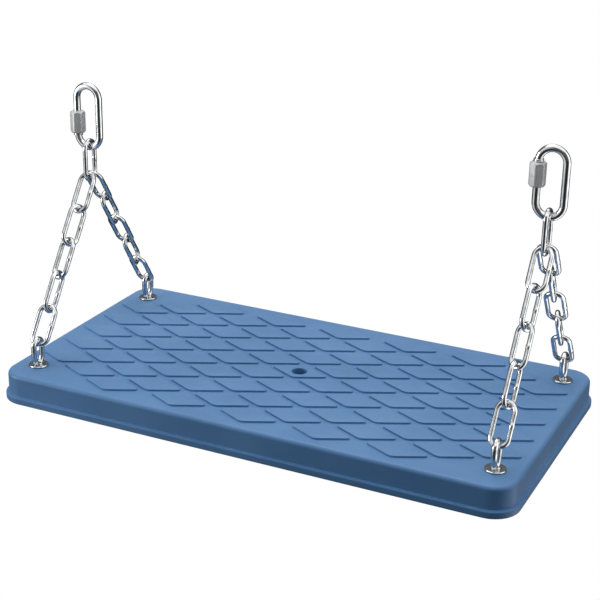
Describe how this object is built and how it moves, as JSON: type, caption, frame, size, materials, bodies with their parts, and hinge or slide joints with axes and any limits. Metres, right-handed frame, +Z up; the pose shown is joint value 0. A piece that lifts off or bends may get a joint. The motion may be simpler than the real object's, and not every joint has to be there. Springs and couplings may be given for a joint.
{
  "type": "board swing seat with chains",
  "caption": "Flat moulded board swing seat with a raised diamond tread, hung by short chains and screw-lock quick links.",
  "frame": {"origin": "middle of the seat's underside, level with its bottom rim", "axes": "+X along the seat's long side, to the right of a person who looks at its front edge; +Y to the back edge; +Z up"},
  "size_m": [0.4572, 0.2412, 0.2528],
  "materials": {
    "board_plastic": "moulded polyethylene, satin, blue",
    "chain_steel": "bright zinc plated wire",
    "hook_steel": "bright zinc plated wire",
    "sleeve_steel": "plain turned steel, satin",
    "bolt_steel": "bright zinc plated"
  },
  "bodies": {
    "hangers": {"quick_link_left": "hook_steel", "quick_link_right": "hook_steel"},
    "sleeve_left": {"screw_sleeve_left": "sleeve_steel"},
    "sleeve_right": {"screw_sleeve_right": "sleeve_steel"},
    "common_left": {"common_link_left": "chain_steel"},
    "common_right": {"common_link_right": "chain_steel"},
    "strands_left": {"link_front_left_1": "chain_steel", "link_back_left_1": "chain_steel"},
    "strands_right": {"link_front_right_1": "chain_steel", "link_back_right_1": "chain_steel"},
    "seat": {"seat_board": "board_plastic", "eye_bolt_front_left": "bolt_steel", "eye_bolt_front_right": "bolt_steel", "eye_bolt_back_left": "bolt_steel", "eye_bolt_back_right": "bolt_steel", "top_washers": "bolt_steel", "bottom_washers": "bolt_steel", "lock_nuts": "bolt_steel"},
    "link_front_left_2": {"link_front_left_2": "chain_steel"},
    "link_front_left_3": {"link_front_left_3": "chain_steel"},
    "link_front_left_4": {"link_front_left_4": "chain_steel"},
    "link_front_left_5": {"link_front_left_5": "chain_steel"},
    "link_back_left_2": {"link_back_left_2": "chain_steel"},
    "link_back_left_3": {"link_back_left_3": "chain_steel"},
    "link_back_left_4": {"link_back_left_4": "chain_steel"},
    "link_back_left_5": {"link_back_left_5": "chain_steel"},
    "link_front_right_2": {"link_front_right_2": "chain_steel"},
    "link_front_right_3": {"link_front_right_3": "chain_steel"},
    "link_front_right_4": {"link_front_right_4": "chain_steel"},
    "link_front_right_5": {"link_front_right_5": "chain_steel"},
    "link_back_right_2": {"link_back_right_2": "chain_steel"},
    "link_back_right_3": {"link_back_right_3": "chain_steel"},
    "link_back_right_4": {"link_back_right_4": "chain_steel"},
    "link_back_right_5": {"link_back_right_5": "chain_steel"}
  },
  "joints": [
    {"name": "sleeve_left_travel", "type": "slide", "parent": "hangers", "child": "sleeve_left", "axis": [0, 0, 1], "range_m": [0, 0.012]},
    {"name": "sleeve_right_travel", "type": "slide", "parent": "hangers", "child": "sleeve_right", "axis": [0, 0, -1], "range_m": [0, 0.012]},
    {"name": "swing", "type": "hinge", "parent": "hangers", "child": "common_left", "pos_m": [-0.2048, 0, 0.1963], "axis": [1, 0, 0], "range_deg": [-60, 60]},
    {"name": "swing_right", "type": "hinge", "parent": "hangers", "child": "common_right", "pos_m": [0.2048, 0, 0.1963], "axis": [1, 0, 0], "range_deg": [-60, 60]},
    {"name": "sway", "type": "hinge", "parent": "common_left", "child": "strands_left", "pos_m": [-0.2048, 0, 0.16987], "axis": [0, 1, 0], "range_deg": [-15, 15]},
    {"name": "sway_right", "type": "hinge", "parent": "common_right", "child": "strands_right", "pos_m": [0.2048, 0, 0.16987], "axis": [0, 1, 0], "range_deg": [-15, 15]},
    {"name": "seat_level", "type": "hinge", "parent": "strands_left", "child": "seat", "pos_m": [-0.2048, 0, 0.04761], "axis": [0, 1, 0], "range_deg": [-15, 15]},
    {"name": "twist_front_left", "type": "hinge", "parent": "strands_left", "child": "link_front_left_3", "pos_m": [-0.2048, -0.00215, 0.17247], "axis": [0, 0.5591, 0.8291], "range_deg": [-10, 10]},
    {"name": "twist_front_left_2", "type": "hinge", "parent": "strands_left", "child": "link_front_left_2", "pos_m": [-0.2048, -0.00215, 0.17247], "axis": [0, 0.5591, 0.8291], "range_deg": [-5, 5]},
    {"name": "twist_front_left_4", "type": "hinge", "parent": "strands_left", "child": "link_front_left_4", "pos_m": [-0.2048, -0.00215, 0.17247], "axis": [0, 0.5591, 0.8291], "range_deg": [-5, 5]},
    {"name": "twist_front_left_5", "type": "hinge", "parent": "strands_left", "child": "link_front_left_5", "pos_m": [-0.2048, -0.00215, 0.17247], "axis": [0, 0.5591, 0.8291], "range_deg": [-2.5, 2.5]},
    {"name": "twist_back_left", "type": "hinge", "parent": "strands_left", "child": "link_back_left_3", "pos_m": [-0.2048, 0.00215, 0.17247], "axis": [0, -0.5591, 0.8291], "range_deg": [-10, 10]},
    {"name": "twist_back_left_2", "type": "hinge", "parent": "strands_left", "child": "link_back_left_2", "pos_m": [-0.2048, 0.00215, 0.17247], "axis": [0, -0.5591, 0.8291], "range_deg": [-5, 5]},
    {"name": "twist_back_left_4", "type": "hinge", "parent": "strands_left", "child": "link_back_left_4", "pos_m": [-0.2048, 0.00215, 0.17247], "axis": [0, -0.5591, 0.8291], "range_deg": [-5, 5]},
    {"name": "twist_back_left_5", "type": "hinge", "parent": "strands_left", "child": "link_back_left_5", "pos_m": [-0.2048, 0.00215, 0.17247], "axis": [0, -0.5591, 0.8291], "range_deg": [-2.5, 2.5]},
    {"name": "twist_front_right", "type": "hinge", "parent": "strands_right", "child": "link_front_right_3", "pos_m": [0.2048, -0.00215, 0.17247], "axis": [0, 0.5591, 0.8291], "range_deg": [-10, 10]},
    {"name": "twist_front_right_2", "type": "hinge", "parent": "strands_right", "child": "link_front_right_2", "pos_m": [0.2048, -0.00215, 0.17247], "axis": [0, 0.5591, 0.8291], "range_deg": [-5, 5]},
    {"name": "twist_front_right_4", "type": "hinge", "parent": "strands_right", "child": "link_front_right_4", "pos_m": [0.2048, -0.00215, 0.17247], "axis": [0, 0.5591, 0.8291], "range_deg": [-5, 5]},
    {"name": "twist_front_right_5", "type": "hinge", "parent": "strands_right", "child": "link_front_right_5", "pos_m": [0.2048, -0.00215, 0.17247], "axis": [0, 0.5591, 0.8291], "range_deg": [-2.5, 2.5]},
    {"name": "twist_back_right", "type": "hinge", "parent": "strands_right", "child": "link_back_right_3", "pos_m": [0.2048, 0.00215, 0.17247], "axis": [0, -0.5591, 0.8291], "range_deg": [-10, 10]},
    {"name": "twist_back_right_2", "type": "hinge", "parent": "strands_right", "child": "link_back_right_2", "pos_m": [0.2048, 0.00215, 0.17247], "axis": [0, -0.5591, 0.8291], "range_deg": [-5, 5]},
    {"name": "twist_back_right_4", "type": "hinge", "parent": "strands_right", "child": "link_back_right_4", "pos_m": [0.2048, 0.00215, 0.17247], "axis": [0, -0.5591, 0.8291], "range_deg": [-5, 5]},
    {"name": "twist_back_right_5", "type": "hinge", "parent": "strands_right", "child": "link_back_right_5", "pos_m": [0.2048, 0.00215, 0.17247], "axis": [0, -0.5591, 0.8291], "range_deg": [-2.5, 2.5]}
  ],
  "couplings": [
    {"joint": "swing_right", "follows": "swing", "ratio": 1},
    {"joint": "sway_right", "follows": "sway", "ratio": 1},
    {"joint": "seat_level", "follows": "sway", "ratio": -1},
    {"joint": "twist_front_left_2", "follows": "twist_front_left", "ratio": 0.5},
    {"joint": "twist_front_left_4", "follows": "twist_front_left", "ratio": 0.5},
    {"joint": "twist_front_left_5", "follows": "twist_front_left", "ratio": 0.25},
    {"joint": "twist_back_left_2", "follows": "twist_back_left", "ratio": 0.5},
    {"joint": "twist_back_left_4", "follows": "twist_back_left", "ratio": 0.5},
    {"joint": "twist_back_left_5", "follows": "twist_back_left", "ratio": 0.25},
    {"joint": "twist_front_right_2", "follows": "twist_front_right", "ratio": 0.5},
    {"joint": "twist_front_right_4", "follows": "twist_front_right", "ratio": 0.5},
    {"joint": "twist_front_right_5", "follows": "twist_front_right", "ratio": 0.25},
    {"joint": "twist_back_right_2", "follows": "twist_back_right", "ratio": 0.5},
    {"joint": "twist_back_right_4", "follows": "twist_back_right", "ratio": 0.5},
    {"joint": "twist_back_right_5", "follows": "twist_back_right", "ratio": 0.25}
  ]
}
